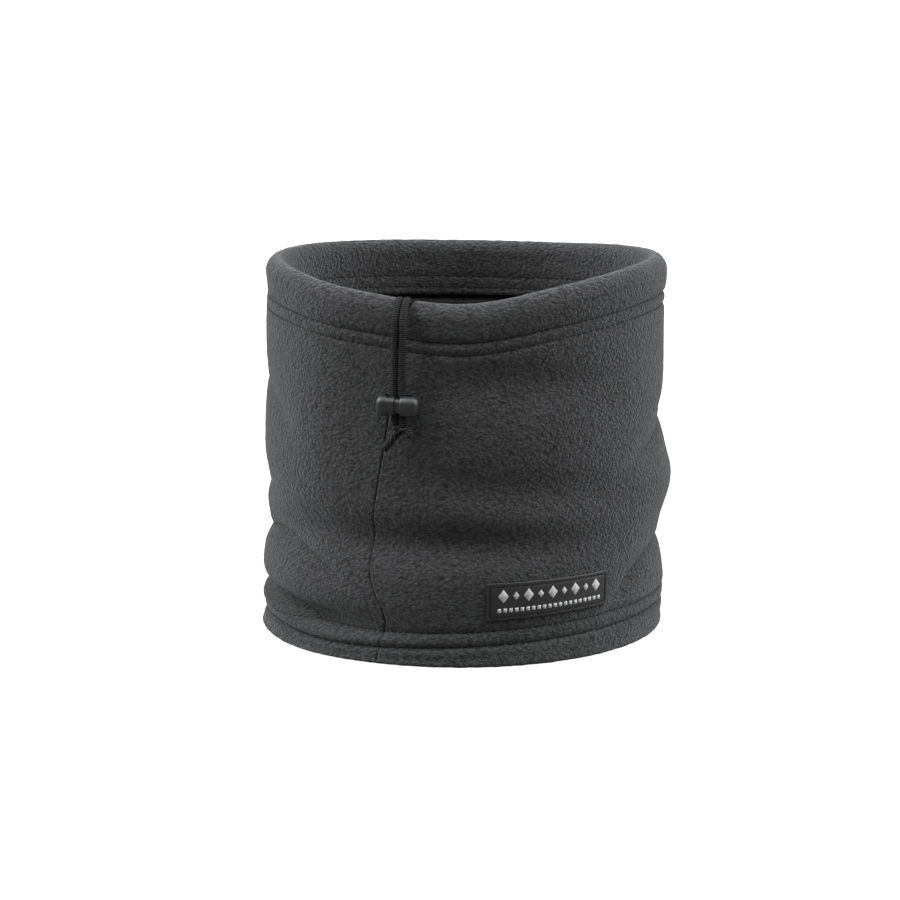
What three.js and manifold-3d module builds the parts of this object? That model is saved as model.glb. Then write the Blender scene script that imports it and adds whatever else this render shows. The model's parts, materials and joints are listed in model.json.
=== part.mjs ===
// Insulated fleece neck gaiter with an elastic drawcord round its top edge.
// Millimetres, +Z up, origin on the floor under the middle of the tube.
// Azimuths are degrees from the front (-Y), growing towards +X.

import * as THREE from 'three';
import { mergeVertices } from 'three/addons/utils/BufferGeometryUtils.js';
import Module from 'manifold-3d';

// ---- driving dimensions ----
const outerRadius = 84.2;        // outer face of the shell
const rimHeight = 155.4;         // mean height of the rim's crest
const rimWave = [                // crest above or below the mean, every 30 degrees from the front
  -5.6, 0.4, 4.1, 2.8, 0.9, -2.0, -2.5, -0.9, 1.4, 2.7, 1.6, -2.5,
];
const leanAtHem = -1.1;          // sideways place of the tube's axis at the floor
const leanAtRim = 0.9;           // and at the rim
const fleece = 2.2;              // shell cloth
const wadding = 1.5;             // insulation between shell and lining
const liningFleece = 2.2;        // lining cloth
const plyGap = 0.3;              // air between two plies
const clearance = 0.3;           // gap between pieces that touch
const topTurn = 24;              // shell turned in at the top, below the crest
const hemTurn = 20;              // shell turned in at the bottom
const rollHeight = 6;            // height of the rim's rounded roll
const hemInside = 0.8;           // inner round of the hem's two bottom corners
const topRows = [15.5, 20.5];    // twin needle rows, below the crest
const hemRows = [8.5, 14.5];     // twin needle rows, above the floor
const threadWidth = 0.5;
const liningEaseTop = 3.9;       // lining and insulation end this far under the cord
const liningEaseFloor = 0.6;     // and this far above the round of the hem
const cordDiameter = 2.8;
const casingEase = 1.6;          // cord's play under the crest, inside the casing
const cordAzimuth = -17.8;       // where both cord ends leave the casing
const exitDip = 2;               // the pulled cord dents the crest
const exitDipWidth = 5;          // degrees
const strandTop = -8.8;          // top of the straight strands, from the crest at the exit
const strandBottom = -46.9;
const strandShift = 0.6;         // sideways place of the strands' top
const strandLean = 0.5;          // degrees that the strands lean towards -X going down
const lockHeight = -39.8;        // lock's centre, from the crest at the exit
const lockLength = 18;
const lockDepth = 8.6;
const lockTall = 8.4;
const buttonTravel = 2;
const slotEase = 0.2;            // cord slot's play, front and back
const slotSideEase = 0.65;       // and to each side of the two strands
const labelAzimuth = 25.8;
const labelWidth = 56;
const labelTall = 16;
const labelFloor = 19.4;         // label's bottom edge above the floor
const labelThickness = 0.8;
const labelHemmed = 1.2;         // stitching in from the label's edge
const stations = 48;             // facets round the tube

// ---- radii that follow ----
const shellInner = outerRadius - fleece;
const waddingOuter = shellInner - plyGap;
const waddingInner = waddingOuter - wadding;
const liningOuter = waddingInner - plyGap;
const liningInner = liningOuter - liningFleece;
const turnOuter = liningInner - plyGap;
const turnInner = turnOuter - fleece;
const rimCentre = (outerRadius + turnInner) / 2;
const rollHalf = (outerRadius - turnInner) / 2;
const threadStandoff = clearance + threadWidth / 2;
const strandRadius = outerRadius + clearance + threadWidth + clearance + lockDepth / 2;

// ---- heights and widths that follow ----
const hemCorner = fleece + hemInside;
const cordBelowCrest = fleece + cordDiameter / 2 + casingEase;
const liningBelowCrest = cordBelowCrest + cordDiameter / 2 + liningEaseTop;
const liningAboveFloor = hemCorner + liningEaseFloor;
const cordPitch = cordDiameter + clearance;
const slotWidth = cordDiameter + 2 * slotEase;
const slotReach = (cordPitch + cordDiameter) / 2 + slotSideEase;

const wasm = await Module();
wasm.setup();

// ---- solids ----
function weld(geometry) {
  geometry.deleteAttribute('normal');
  geometry.deleteAttribute('uv');
  const welded = mergeVertices(geometry, 1e-4);
  if (signedVolume(welded) < 0) {
    const index = welded.index.array;
    for (let i = 0; i < index.length; i += 3) {
      [index[i + 1], index[i + 2]] = [index[i + 2], index[i + 1]];
    }
  }
  return welded;
}

function signedVolume(geometry) {
  const place = geometry.attributes.position;
  const index = geometry.index.array;
  const corners = [new THREE.Vector3(), new THREE.Vector3(), new THREE.Vector3()];
  let sum = 0;
  for (let i = 0; i < index.length; i += 3) {
    corners.forEach((corner, k) => corner.fromBufferAttribute(place, index[i + k]));
    sum += corners[0].dot(corners[1].cross(corners[2]));
  }
  return sum / 6;
}

function toSolid(geometry) {
  const welded = weld(geometry);
  return new wasm.Manifold(new wasm.Mesh({
    numProp: 3,
    vertProperties: new Float32Array(welded.attributes.position.array),
    triVerts: new Uint32Array(welded.index.array),
  }));
}

function fromSolid(solid) {
  const mesh = solid.getMesh();
  const geometry = new THREE.BufferGeometry();
  geometry.setAttribute('position', new THREE.BufferAttribute(mesh.vertProperties, 3));
  geometry.setIndex(new THREE.BufferAttribute(mesh.triVerts, 1));
  return geometry;
}

function mapPoints(geometry, change) {
  const place = geometry.attributes.position;
  const point = new THREE.Vector3();
  for (let i = 0; i < place.count; i += 1) {
    point.fromBufferAttribute(place, i);
    change(point);
    place.setXYZ(i, point.x, point.y, point.z);
  }
  return geometry;
}

// ---- how the tube stands ----
function smoothstep(low, high, value) {
  const t = THREE.MathUtils.clamp((value - low) / (high - low), 0, 1);
  return t * t * (3 - 2 * t);
}

function waveAt(azimuth) {
  const count = rimWave.length;
  const turn = (((azimuth / 360) % 1) + 1) % 1 * count;
  const k = Math.floor(turn);
  const [a, b, c, d] = [k - 1, k, k + 1, k + 2].map((i) => rimWave[(i + count) % count]);
  const t = turn - k;
  return b + 0.5 * t * (c - a + t * (2 * a - 5 * b + 4 * c - d + t * (3 * (b - c) + d - a)));
}

// Everything round the tube bends only at the facets' edges, so the plies never cross.
function atStations(azimuth, value) {
  const step = 360 / stations;
  const k = Math.floor((azimuth - cordAzimuth) / step + 1e-9);
  const t = (azimuth - cordAzimuth) / step - k;
  const low = value(cordAzimuth + k * step);
  const high = value(cordAzimuth + (k + 1) * step);
  return low + t * (high - low);
}

function dipAt(azimuth) {
  const away = ((azimuth - cordAzimuth + 540) % 360) - 180;
  return exitDip * Math.exp(-((away / exitDipWidth) ** 2));
}

function riseAt(azimuth, height) {
  const wave = smoothstep(hemTurn + 10, rimHeight - topTurn - 4, height);
  const dip = smoothstep(rimHeight - 13, rimHeight - 3, height);
  return atStations(azimuth, waveAt) * wave - atStations(azimuth, dipAt) * dip;
}

function leanAt(height) {
  return THREE.MathUtils.lerp(leanAtHem, leanAtRim, height / rimHeight);
}

function drape(point) {
  const azimuth = THREE.MathUtils.radToDeg(Math.atan2(point.x, -point.y));
  point.z += riseAt(azimuth, point.z);
  point.x += leanAt(point.z);
}

function onTube(azimuth, radius, height) {
  const angle = THREE.MathUtils.degToRad(azimuth);
  const point = new THREE.Vector3(radius * Math.sin(angle), -radius * Math.cos(angle), height);
  drape(point);
  return point;
}

// ---- shapes used again and again ----
function arc(centreR, centreZ, halfR, halfZ, from, to, steps) {
  return Array.from({ length: steps + 1 }, (_, i) => {
    const angle = THREE.MathUtils.degToRad(from + ((to - from) * i) / steps);
    return [centreR + halfR * Math.cos(angle), centreZ + halfZ * Math.sin(angle)];
  });
}

function ring(profile) {
  const points = [...profile, profile[0]].map(([r, z]) => new THREE.Vector2(r, z));
  const start = THREE.MathUtils.degToRad(cordAzimuth);
  const geometry = new THREE.LatheGeometry(points, stations, start, Math.PI * 2);
  geometry.rotateX(Math.PI / 2);
  return weld(mapPoints(geometry, drape));
}

function tube(points, diameter, sides, steps) {
  const section = new THREE.Shape(Array.from({ length: sides }, (_, i) => {
    const angle = ((i + 0.5) / sides) * Math.PI * 2;
    const radius = diameter / 2;
    return new THREE.Vector2(radius * Math.cos(angle), radius * Math.sin(angle));
  }));
  const path = new THREE.CatmullRomCurve3(points);
  return weld(new THREE.ExtrudeGeometry(section, { extrudePath: path, steps, bevelEnabled: false }));
}

function roundedRectangle(width, height, radius) {
  const x = width / 2 - radius;
  const y = height / 2 - radius;
  const shape = new THREE.Shape();
  shape.absarc(x, y, radius, 0, Math.PI / 2);
  shape.absarc(-x, y, radius, Math.PI / 2, Math.PI);
  shape.absarc(-x, -y, radius, Math.PI, Math.PI * 1.5);
  shape.absarc(x, -y, radius, Math.PI * 1.5, Math.PI * 2);
  return shape;
}

const lyingAlongX = new THREE.Matrix4().makeBasis(
  new THREE.Vector3(0, 1, 0), new THREE.Vector3(0, 0, 1), new THREE.Vector3(1, 0, 0),
);

// Bar along X with a rounded rectangle section, its ends eased by bevel.
function bar(from, to, deep, tall, radius, bevel) {
  const shape = roundedRectangle(deep - 2 * bevel, tall - 2 * bevel, radius - bevel);
  const geometry = new THREE.ExtrudeGeometry(shape, {
    depth: to - from - 2 * bevel,
    curveSegments: 4,
    bevelEnabled: bevel > 0,
    bevelThickness: bevel,
    bevelSize: bevel,
    bevelSegments: 3,
  });
  geometry.translate(0, 0, from + bevel);
  return toSolid(geometry.applyMatrix4(lyingAlongX));
}

function block(fromX, toX, deep, tall) {
  const geometry = new THREE.BoxGeometry(toX - fromX, deep, tall);
  return toSolid(geometry.translate((fromX + toX) / 2, 0, 0));
}

// ---- the frame at the cord's exit: x round the tube, y inwards, z up ----
const exitPoint = onTube(cordAzimuth, rimCentre, rimHeight);
const strandDepth = -(strandRadius - rimCentre);
const leanSlope = Math.tan(THREE.MathUtils.degToRad(strandLean));

function fromExit(x, y, z) {
  const point = new THREE.Vector3(x, y, z);
  point.applyAxisAngle(new THREE.Vector3(0, 0, 1), THREE.MathUtils.degToRad(cordAzimuth));
  return point.add(exitPoint);
}

function strandX(z) {
  return strandShift + (z - strandTop) * leanSlope;
}

// ---- the cloth ----
function shellProfile() {
  const rollTop = rimHeight - rollHeight;
  const cornerOut = outerRadius - hemCorner;
  const cornerIn = turnInner + hemCorner;
  const inside = hemCorner - fleece;
  return [
    ...arc(cornerOut, hemCorner, hemCorner, hemCorner, -90, 0, 3),
    ...arc(rimCentre, rollTop, rollHalf, rollHeight, 0, 180, 8),
    [turnInner, rimHeight - topTurn],
    [turnOuter, rimHeight - topTurn],
    ...arc(rimCentre, rollTop, rollHalf - fleece, rollHeight - fleece, 180, 0, 6),
    ...arc(cornerOut, hemCorner, inside, inside, 0, -90, 2),
    ...arc(cornerIn, hemCorner, inside, inside, -90, -180, 2),
    [turnOuter, hemTurn],
    [turnInner, hemTurn],
    ...arc(cornerIn, hemCorner, hemCorner, hemCorner, 180, 270, 3),
  ];
}

const slitHalf = cordPitch / 2 + cordDiameter / 2 + 4 * clearance;
const slitHalfDeep = cordDiameter / 2 + 2 * clearance;
const buttonholeWall = 0.6;

function stadium(grow) {
  const radius = slitHalfDeep + grow;
  return roundedRectangle(2 * (slitHalf + grow), 2 * radius, radius);
}

function atExit(shape, from, to) {
  const geometry = new THREE.ExtrudeGeometry(shape, {
    depth: to - from, bevelEnabled: false, curveSegments: 5,
  });
  geometry.translate(0, 0, from);
  return mapPoints(geometry, (point) => point.copy(fromExit(point.x, point.y, point.z)));
}

function outerShell() {
  const cloth = toSolid(ring(shellProfile()));
  const slit = toSolid(atExit(stadium(buttonholeWall + clearance), -rollHeight, rollHeight));
  return fromSolid(cloth.subtract(slit));
}

function buttonhole() {
  const edge = stadium(buttonholeWall);
  edge.holes.push(new THREE.Path(stadium(0).getPoints(5)));
  return weld(atExit(edge, clearance - fleece, -0.1));
}

function ply(inner, outer) {
  const top = rimHeight - liningBelowCrest;
  return ring([
    [inner, liningAboveFloor], [outer, liningAboveFloor], [outer, top], [inner, top],
  ]);
}

// ---- threads ----
function threadRow(face, height) {
  const half = threadWidth / 2;
  const radius = face === 'outside' ? outerRadius + threadStandoff : turnInner - threadStandoff;
  return ring([[radius, height - half], [radius + half, height], [radius, height + half],
    [radius - half, height]]);
}

function shellSeam() {
  const radius = outerRadius + threadStandoff;
  const route = [                // height, azimuth
    [hemRows[1] + 1.5, -24.3], [26, -26.4], [36, -28], [50, -27.4], [68, -26.4],
    [82, -25], [100, -22.8], [rimHeight - topRows[1] - 1.5, -19.6],
  ];
  return tube(route.map(([z, azimuth]) => onTube(azimuth, radius, z)), threadWidth, 6, 14);
}

function liningSeam() {
  const radius = liningInner - threadStandoff;
  const bottom = onTube(cordAzimuth, radius, hemTurn + 2);
  const top = onTube(cordAzimuth, radius, rimHeight - topTurn - 2);
  return tube([bottom, top], threadWidth, 6, 4);
}

// ---- label ----
function wrapOnTube(geometry, from) {
  return weld(mapPoints(geometry, (point) => {
    const turn = THREE.MathUtils.radToDeg(point.x / outerRadius);
    point.copy(onTube(labelAzimuth + turn, outerRadius + from + point.z, labelFloor + point.y));
  }));
}

function label() {
  const geometry = new THREE.BoxGeometry(labelWidth, labelTall, labelThickness, 16, 1, 1);
  geometry.translate(0, labelTall / 2, labelThickness / 2);
  return wrapOnTube(geometry, clearance);
}

// One frame of thread: a square section followed round the label's inset outline.
function labelStitching() {
  const steps = 16;
  const loop = (inset, lift) => {
    const x = labelWidth / 2 - labelHemmed - inset;
    const side = (sign, y) => Array.from({ length: steps + 1 }, (_, i) => (
      new THREE.Vector3(sign * x * ((2 * i) / steps - 1), y, lift)
    ));
    return [...side(1, labelHemmed + inset), ...side(-1, labelTall - labelHemmed - inset)];
  };
  const loops = [loop(0, 0), loop(threadWidth, 0), loop(threadWidth, threadWidth), loop(0, threadWidth)];
  const count = loops[0].length;
  const index = loops.flatMap((_, k) => loops[k].flatMap((__, i) => {
    const next = ((k + 1) % loops.length) * count;
    const [a, b] = [k * count + i, k * count + ((i + 1) % count)];
    const [c, d] = [next + i, next + ((i + 1) % count)];
    return [a, b, d, a, d, c];
  }));
  const geometry = new THREE.BufferGeometry().setFromPoints(loops.flat()).setIndex(index);
  return wrapOnTube(geometry, labelThickness + 2 * clearance);
}

// ---- drawcord ----
const casingStart = 6.9;         // degrees from the exit to each end of the cord in the casing

function inCasing(away) {
  return onTube(cordAzimuth + away, rimCentre, rimHeight - cordBelowCrest);
}

function cordInCasing() {
  const span = 360 - 2 * casingStart;
  const points = Array.from({ length: stations + 1 }, (_, i) => (
    inCasing(casingStart + (span * i) / stations)
  ));
  return tube(points, cordDiameter, 8, 60);
}

// Out of the casing, up through the buttonhole, over the crest and down outside.
function cordBend(side) {
  const shift = (cordPitch / 2) * side;
  const start = THREE.MathUtils.radToDeg((1.5 * clearance) / rimCentre);
  const end = strandX(strandTop) + shift;
  const turnUp = side < 0 ? [-4.2, -3.4] : [-4.6, -3.6];
  const route = [
    [shift + 0.12 * side, 0, -2], [shift, -0.1, -0.5], [shift + 0.05 * side, -0.8, 1.2],
    [shift + 0.05 * side + 0.1, -2.4, 1.9], [shift + 0.03 * side + 0.2, -4.6, 1.2],
    [shift + 0.4, -7, -0.9], [shift + 0.55, -8.9, -3.6],
    [end, strandDepth, strandTop + clearance + 1.4], [end, strandDepth, strandTop + clearance],
  ];
  return tube([
    inCasing(side * (casingStart - start)), inCasing(side * 5.2), inCasing(side * 3.9),
    fromExit(3.5 * side, 0, turnUp[0]), fromExit(2.3 * side, 0, turnUp[1]),
    ...route.map(([x, y, z]) => fromExit(x, y, z)),
  ], cordDiameter, 8, 22);
}

function strand(side) {
  const shift = (cordPitch / 2) * side;
  const heights = [strandTop, lockHeight, strandBottom];
  const points = heights.map((z) => fromExit(strandX(z) + shift, strandDepth, z));
  return tube(points, cordDiameter, 8, 6);
}

const knotHalf = [3, 2.6, 2.5];
const knotHeight = strandBottom - clearance - knotHalf[2];

function fromKnot(x, y, z) {
  return fromExit(strandX(knotHeight) + x, strandDepth + y, knotHeight + z);
}

function knot() {
  const geometry = new THREE.SphereGeometry(1, 14, 9);
  geometry.rotateX(Math.PI / 2);
  return weld(mapPoints(geometry, (point) => {
    point.copy(fromKnot(point.x * knotHalf[0], point.y * knotHalf[1], point.z * knotHalf[2]));
  }));
}

function leftTail() {
  const route = [[-1.6, -0.2, -2.8], [-3, -0.3, -4.5], [-4.4, -0.2, -6.2], [-6.2, 0.1, -8.1]];
  return tube(route.map((point) => fromKnot(...point)), cordDiameter, 8, 4);
}

function rightTail() {
  const route = [[3.4, -0.1, -0.1], [4.3, -0.3, -0.4], [5.1, -0.4, -1.2], [5.5, -0.5, -2.4]];
  return tube(route.map((point) => fromKnot(...point)), cordDiameter, 8, 4);
}

// ---- cord lock: x along the plunger, y front to back, z along the cords ----
const lockHalf = lockLength / 2;
const lockRound = 3;
const lobeEnd = -lockHalf + 5.5;
const wallThin = 0.8;
const skirtWall = 0.7;
const boreDeep = lockDepth - 2 * (skirtWall + clearance + wallThin);
const boreTall = lockTall - 2 * (skirtWall + clearance + wallThin);
const boreEnd = -lockHalf + 1.3;
const stemEnd = -slotReach - 1;
const skirtRim = 1.45;
const capInside = lockHalf - 1.1;
const sleeveEnd = capInside - buttonTravel - clearance;
const collarEnd = skirtRim - buttonTravel - clearance;

function lockBody() {
  const collarDeep = lockDepth - 2 * wallThin;
  const collarTall = lockTall - 2 * wallThin;
  const lobe = bar(-lockHalf, lobeEnd, lockDepth, lockTall, lockRound, 0.9);
  const collar = bar(lobeEnd - 1, collarEnd, collarDeep, collarTall, lockRound - wallThin, 0);
  const sleeve = bar(lobeEnd - 1, sleeveEnd, boreDeep + 2 * wallThin, boreTall + 2 * wallThin, 2, 0);
  const bore = bar(boreEnd, lockHalf, boreDeep, boreTall, 2 - wallThin, 0);
  const slot = block(-slotReach - buttonTravel, slotReach, slotWidth, 2 * lockTall);
  return fromSolid(lobe.add(collar).add(sleeve).subtract(bore).subtract(slot));
}

function lockButton() {
  const cap = bar(skirtRim, lockHalf, lockDepth, lockTall, lockRound, 0.7);
  const insideDeep = lockDepth - 2 * skirtWall;
  const insideTall = lockTall - 2 * skirtWall;
  const inside = bar(skirtRim - 1, capInside, insideDeep, insideTall, 2 + clearance, 0);
  const stemDeep = boreDeep - 2 * clearance;
  const stemTall = boreTall - 2 * clearance;
  const stem = bar(stemEnd, capInside + 0.5, stemDeep, stemTall, 0.9, 0);
  const slot = block(-slotReach, slotReach + buttonTravel, slotWidth, 2 * lockTall);
  return fromSolid(cap.subtract(inside).add(stem).subtract(slot));
}

function lockSpring() {
  const wire = 0.4;
  const turns = 2.5;
  const radius = boreTall / 2 - clearance - wire;
  const from = boreEnd + clearance + wire / 2;
  const to = stemEnd - clearance - wire / 2;
  const count = 40;
  const points = Array.from({ length: count + 1 }, (_, i) => {
    const angle = (i / count) * turns * Math.PI * 2;
    const x = from + ((to - from) * i) / count;
    return new THREE.Vector3(x, radius * Math.cos(angle), radius * Math.sin(angle));
  });
  return tube(points, wire, 6, count);
}

// ---- the assembly ----
function finish(color, roughness, metalness = 0) {
  return () => new THREE.MeshStandardMaterial({ color, roughness, metalness });
}

const shellFinish = finish(0x2e2f31, 1);
const liningFinish = finish(0x262729, 1);
const waddingFinish = finish(0xd8d8d2, 1);
const threadFinish = finish(0x17181a, 0.7);
const cordFinish = finish(0x151618, 0.8);
const labelFinish = finish(0x101114, 0.45);
const plasticFinish = finish(0x141517, 0.2);
const springFinish = finish(0xb9bcc0, 0.3, 1);

function named(name, geometry, material) {
  const mesh = new THREE.Mesh(geometry, material());
  mesh.name = name;
  return mesh;
}

function clothPieces() {
  return [
    named('outer_shell', outerShell(), shellFinish),
    named('insulation_layer', ply(waddingInner, waddingOuter), waddingFinish),
    named('inner_lining', ply(liningInner, liningOuter), liningFinish),
    named('woven_label', label(), labelFinish),
  ];
}

function threadPieces() {
  const rows = ['outside', 'inside'].flatMap((face) => [
    ['upper', 'lower'].map((row, i) => (
      named(`top_row_${row}_${face}`, threadRow(face, rimHeight - topRows[i]), threadFinish)
    )),
    ['lower', 'upper'].map((row, i) => (
      named(`hem_row_${row}_${face}`, threadRow(face, hemRows[i]), threadFinish)
    )),
  ].flat());
  return [
    ...rows,
    named('shell_seam_thread', shellSeam(), threadFinish),
    named('lining_seam_thread', liningSeam(), threadFinish),
    named('label_stitching', labelStitching(), threadFinish),
    named('buttonhole_edging', buttonhole(), threadFinish),
  ];
}

function cordPieces() {
  return [
    named('drawcord_in_casing', cordInCasing(), cordFinish),
    named('drawcord_bend_left', cordBend(-1), cordFinish),
    named('drawcord_bend_right', cordBend(1), cordFinish),
    named('drawcord_end_left', strand(-1), cordFinish),
    named('drawcord_end_right', strand(1), cordFinish),
    named('drawcord_knot', knot(), cordFinish),
    named('drawcord_tail_left', leftTail(), cordFinish),
    named('drawcord_tail_right', rightTail(), cordFinish),
  ];
}

function cordLock() {
  const lock = new THREE.Group();
  lock.add(
    named('cord_lock_body', lockBody(), plasticFinish),
    named('cord_lock_button', lockButton(), plasticFinish),
    named('cord_lock_spring', lockSpring(), springFinish),
  );
  lock.position.copy(fromExit(strandX(lockHeight), strandDepth, lockHeight));
  lock.rotation.z = THREE.MathUtils.degToRad(cordAzimuth);
  return lock;
}

const neckGaiter = new THREE.Group();
neckGaiter.add(...clothPieces(), ...threadPieces(), ...cordPieces(), cordLock());

export default neckGaiter;
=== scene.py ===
import json
import math

import bmesh
import bpy
import numpy as np
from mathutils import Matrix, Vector, noise


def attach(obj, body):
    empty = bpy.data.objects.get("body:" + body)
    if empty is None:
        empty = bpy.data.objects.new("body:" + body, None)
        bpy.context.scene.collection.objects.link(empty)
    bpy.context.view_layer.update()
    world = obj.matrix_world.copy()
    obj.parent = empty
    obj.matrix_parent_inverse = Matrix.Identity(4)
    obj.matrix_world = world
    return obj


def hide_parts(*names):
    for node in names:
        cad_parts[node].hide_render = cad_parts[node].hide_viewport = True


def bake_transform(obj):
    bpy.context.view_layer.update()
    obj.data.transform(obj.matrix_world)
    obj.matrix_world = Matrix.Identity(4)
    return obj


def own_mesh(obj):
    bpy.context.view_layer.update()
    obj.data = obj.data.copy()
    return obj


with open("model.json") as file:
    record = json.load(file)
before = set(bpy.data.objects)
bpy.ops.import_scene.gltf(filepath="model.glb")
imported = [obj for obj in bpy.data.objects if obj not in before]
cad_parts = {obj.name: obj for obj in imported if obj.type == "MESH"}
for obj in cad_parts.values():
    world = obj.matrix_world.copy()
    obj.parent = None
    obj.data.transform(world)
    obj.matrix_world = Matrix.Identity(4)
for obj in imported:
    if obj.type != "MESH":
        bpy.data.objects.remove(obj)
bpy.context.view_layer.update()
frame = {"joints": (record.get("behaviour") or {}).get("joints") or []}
mm = 0.001

# shapes below are worked out in millimetres and azimuths in degrees from the front, growing towards +X

camera = {"place": (0.9, -1500, 380), "aim": (0.9, 0, 80), "lens": 143.28, "shift": (-0.01778, -0.0160)}


def makeCamera():
    data = bpy.data.cameras.new("camera")
    data.lens = camera["lens"]
    data.shift_x, data.shift_y = camera["shift"]
    data.clip_start = 0.01
    data.clip_end = 20
    eye = bpy.data.objects.new("camera", data)
    place = Vector(camera["place"]) * mm
    eye.location = place
    eye.rotation_euler = (Vector(camera["aim"]) * mm - place).to_track_quat("-Z", "Y").to_euler()
    bpy.context.scene.collection.objects.link(eye)
    bpy.context.scene.camera = eye


makeCamera()
print("camera ready")


def smooth(low, high, value):
    t = np.clip((np.asarray(value, float) - low) / (high - low), 0, 1)
    return t * t * (3 - 2 * t)


def bell(value, middle, width):
    return np.exp(-(((value - middle) / width) ** 2))


def around(azimuth, middle):  # nearest turn of an azimuth to another
    return (azimuth - middle + 180) % 360 - 180 + middle


def throughPoints(places, values, at):  # smooth line through a few given points
    places = np.asarray(places, float)
    values = np.asarray(values, float)
    steps = np.diff(places)
    slopes = np.diff(values) / steps
    tangents = np.concatenate([[slopes[0]], (slopes[:-1] + slopes[1:]) / 2, [slopes[-1]]])
    at = np.clip(at, places[0], places[-1])
    k = np.clip(np.searchsorted(places, at, side="right") - 1, 0, len(steps) - 1)
    t = (at - places[k]) / steps[k]
    a, b = values[k], values[k + 1]
    startPull, endPull = tangents[k] * steps[k], tangents[k + 1] * steps[k]
    return (a * (1 + 2 * t) * (1 - t) ** 2 + startPull * t * (1 - t) ** 2
            + b * t * t * (3 - 2 * t) + endPull * t * t * (t - 1))


def spread(low, high, count, dense):  # count places from low to high, closer where dense() is large
    fine = np.linspace(low, high, 4000)
    weight = dense(fine)
    total = np.concatenate([[0], np.cumsum((weight[1:] + weight[:-1]) / 2)])
    return np.interp(np.linspace(0, total[-1], count), total, fine)


def unit(vectors):
    return vectors / np.maximum(np.linalg.norm(vectors, axis=-1, keepdims=True), 1e-12)


def makeObject(name, points, faces, material, uv=None):
    mesh = bpy.data.meshes.new(name)
    mesh.from_pydata((np.asarray(points, float).reshape(-1, 3) * mm).tolist(), [], faces)
    if uv is not None:
        layer = mesh.uv_layers.new(name="Maker")
        corners = np.zeros(len(mesh.loops), int)
        mesh.loops.foreach_get("vertex_index", corners)
        layer.data.foreach_set("uv", np.asarray(uv, float).reshape(-1, 2)[corners].ravel())
    mesh.materials.append(material)
    mesh.shade_smooth()
    obj = bpy.data.objects.new(name, mesh)
    bpy.context.scene.collection.objects.link(obj)
    return obj


def gridFaces(rows, columns, closeRows, closeColumns, first=0):
    i = np.arange(rows if closeRows else rows - 1)
    j = np.arange(columns if closeColumns else columns - 1)
    i, j = np.meshgrid(i, j, indexing="ij")
    nextI, nextJ = (i + 1) % rows, (j + 1) % columns
    here, below = i * columns, nextI * columns
    quads = np.stack([here + j, here + nextJ, below + nextJ, below + j], -1)
    return (quads.reshape(-1, 4) + first).tolist()


def belongs(piece, body, slotName, *nodes):  # its body, its material's slot (not used) and the CAD nodes it replaces
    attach(piece, body)
    if nodes:
        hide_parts(*nodes)


def finishMesh(obj, sharp=None):  # faces outwards, sharp edges kept sharp
    work = bmesh.new()
    work.from_mesh(obj.data)
    bmesh.ops.recalc_face_normals(work, faces=work.faces)
    if sharp:
        for edge in work.edges:
            if len(edge.link_faces) == 2 and edge.calc_face_angle() > math.radians(sharp):
                edge.smooth = False
    work.to_mesh(obj.data)
    work.free()
    obj.data.update()
    return obj


class Link:  # a socket that takes part in shader maths
    def __init__(self, maker, socket):
        self.maker = maker
        self.socket = socket

    def maths(self, operation, *values):
        return self.maker.node("ShaderNodeMath", {"operation": operation}, dict(enumerate(values)))

    def __add__(self, other):
        return self.maths("ADD", self, other)

    def __radd__(self, other):
        return self.maths("ADD", other, self)

    def __sub__(self, other):
        return self.maths("SUBTRACT", self, other)

    def __rsub__(self, other):
        return self.maths("SUBTRACT", other, self)

    def __mul__(self, other):
        return self.maths("MULTIPLY", self, other)

    def __rmul__(self, other):
        return self.maths("MULTIPLY", other, self)

    def __pow__(self, other):
        return self.maths("POWER", self, other)


class Maker:
    def __init__(self, name):
        self.material = bpy.data.materials.new(name)
        self.material.use_nodes = True
        self.tree = self.material.node_tree
        self.shader = self.tree.nodes["Principled BSDF"]

    def node(self, kind, settings=None, inputs=None, output=0):
        made = self.tree.nodes.new(kind)
        for key, value in (settings or {}).items():
            setattr(made, key, value)
        for key, value in (inputs or {}).items():
            if isinstance(value, Link):
                self.tree.links.new(value.socket, made.inputs[key])
            else:
                made.inputs[key].default_value = value
        return Link(self, made.outputs[output])

    def set(self, **values):  # the shader's own sockets, named in camelCase
        for key, value in values.items():
            words = "".join(" " + c if c.isupper() else c for c in key).title().replace("Ior", "IOR")
            socket = self.shader.inputs[words]
            if isinstance(value, Link):
                self.tree.links.new(value.socket, socket)
            else:
                socket.default_value = value
        return self.material

    def blend(self, amount, low, high):  # mixes two colours
        return self.node("ShaderNodeMix", {"data_type": "RGBA"},
                         {0: amount, 6: (*low, 1), 7: (*high, 1)}, 2)

    def place(self, stretch=(1, 1, 1), turn=(0, 0, 0)):
        where = self.node("ShaderNodeTexCoord", output="Object")
        return self.node("ShaderNodeMapping", {}, {"Vector": where, "Scale": stretch, "Rotation": turn})

    def threadMap(self, stretch):
        where = self.node("ShaderNodeUVMap", {"uv_map": "Maker"})
        return self.node("ShaderNodeMapping", {}, {"Vector": where, "Scale": (*stretch, 1)})

    def speckle(self, vector, scale, detail=2, rough=0.5):
        return self.node("ShaderNodeTexNoise", {},
                         {"Vector": vector, "Scale": scale, "Detail": detail, "Roughness": rough})

    def cells(self, vector, scale):
        return self.node("ShaderNodeTexVoronoi", {"feature": "SMOOTH_F1"},
                         {"Vector": vector, "Scale": scale})

    def waves(self, direction, vector, scale, distortion, detail=1.0):
        return self.node("ShaderNodeTexWave", {"bands_direction": direction},
                         {"Vector": vector, "Scale": scale, "Distortion": distortion, "Detail Scale": detail})

    def bump(self, height, distance, strength):
        return self.node("ShaderNodeBump", {},
                         {"Height": height, "Distance": distance, "Strength": strength})


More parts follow.
